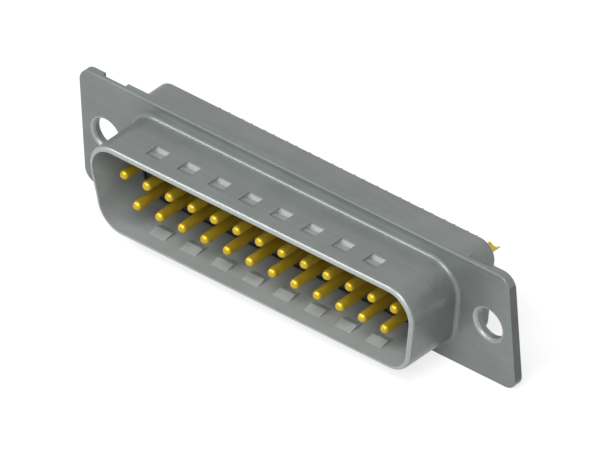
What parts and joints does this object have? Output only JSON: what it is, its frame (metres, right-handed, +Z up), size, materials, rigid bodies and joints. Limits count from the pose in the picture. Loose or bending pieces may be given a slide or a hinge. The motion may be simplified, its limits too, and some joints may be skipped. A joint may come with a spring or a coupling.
{
  "type": "d-sub connector",
  "caption": "Trapezoid plug connector with a drawn metal hood, a flanged shell with screw holes, round pins in two rows and solder cups behind.",
  "frame": {"origin": "middle of the flange's front face, halfway between the two mounting holes", "axes": "+X along the flange, -Y out of the mating face, +Z up towards the wide side of the hood"},
  "size_m": [0.053, 0.0146, 0.0126],
  "materials": {
    "shell_metal": "satin tin plate",
    "insulator": "matte moulded plastic",
    "contact_gold": "gold plated, smooth"
  },
  "bodies": {
    "root": {"shell_front": "shell_metal", "shell_back": "shell_metal", "insulator_front": "insulator", "insulator_back": "insulator", "contact_01": "contact_gold", "contact_02": "contact_gold", "contact_03": "contact_gold", "contact_04": "contact_gold", "contact_05": "contact_gold", "contact_06": "contact_gold", "contact_07": "contact_gold", "contact_08": "contact_gold", "contact_09": "contact_gold", "contact_10": "contact_gold", "contact_11": "contact_gold", "contact_12": "contact_gold", "contact_13": "contact_gold", "contact_14": "contact_gold", "contact_15": "contact_gold", "contact_16": "contact_gold", "contact_17": "contact_gold", "contact_18": "contact_gold", "contact_19": "contact_gold", "contact_20": "contact_gold", "contact_21": "contact_gold", "contact_22": "contact_gold", "contact_23": "contact_gold", "contact_24": "contact_gold", "contact_25": "contact_gold"}
  },
  "joints": []
}
